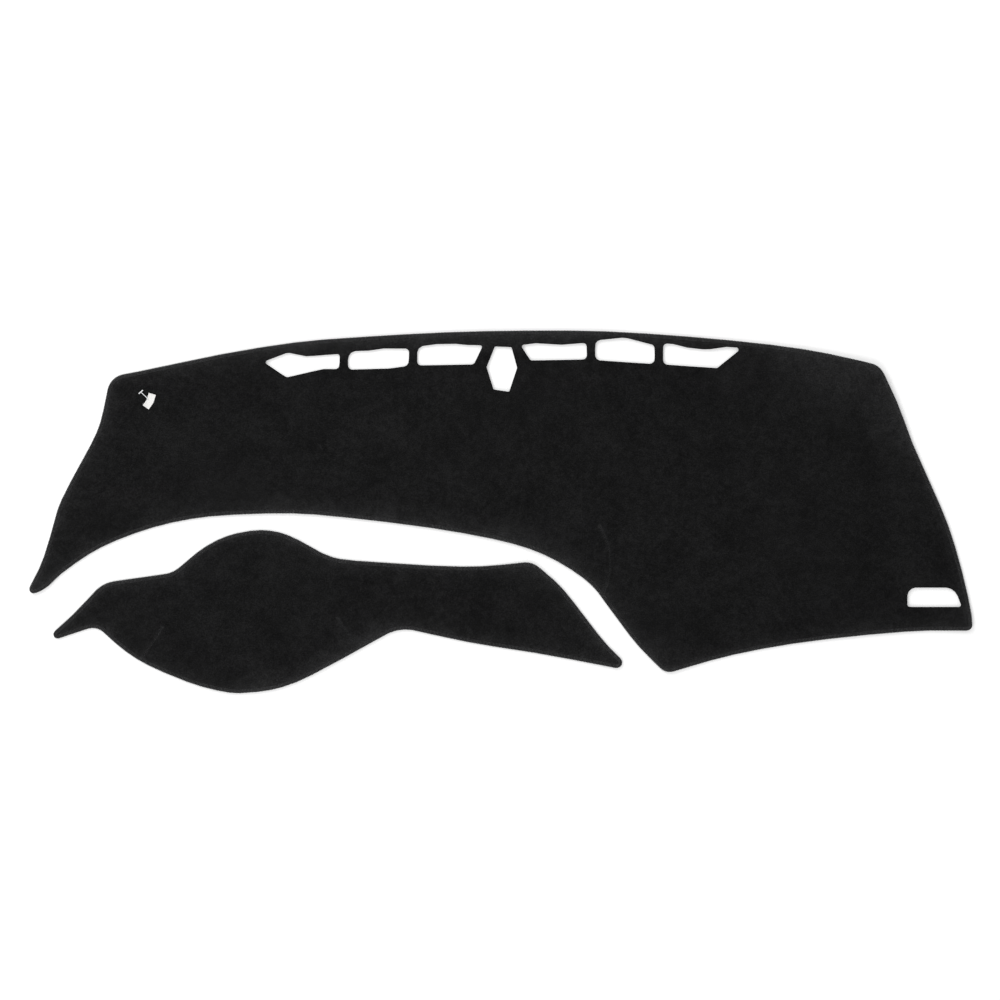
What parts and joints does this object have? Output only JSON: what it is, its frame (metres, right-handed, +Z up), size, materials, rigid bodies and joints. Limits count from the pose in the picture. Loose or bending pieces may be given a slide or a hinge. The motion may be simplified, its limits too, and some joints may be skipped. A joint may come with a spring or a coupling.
{
  "type": "dashboard cover mat",
  "caption": "Flat black felt mat for a car dashboard, cut in a main mat with vent and side cut-outs and a separate hood mat, with overlocked edges and sewn darts.",
  "frame": {"origin": "on the underside of the main mat, at the middle of the two pieces as they lie side by side", "axes": "+X along the dashboard, +Y towards the windshield, +Z up, out of the visible face"},
  "size_m": [1.4151, 0.5447, 0.0065],
  "materials": {
    "felt": "matt black needled felt with a fine short grain",
    "binding_thread": "black overlock thread, slightly lighter than the felt",
    "seam_thread": "black sewing thread in a closed dart",
    "label": "blank white woven tape",
    "pin_plastic": "clear to milky moulded plastic"
  },
  "bodies": {
    "root": {"main_mat": "felt", "main_mat_binding": "binding_thread", "main_mat_dart_seam": "seam_thread", "tag_label": "label", "tag_pin": "pin_plastic", "hood_mat": "felt", "hood_mat_binding": "binding_thread", "hood_mat_left_dart_seam": "seam_thread", "hood_mat_right_dart_seam": "seam_thread"}
  },
  "joints": []
}
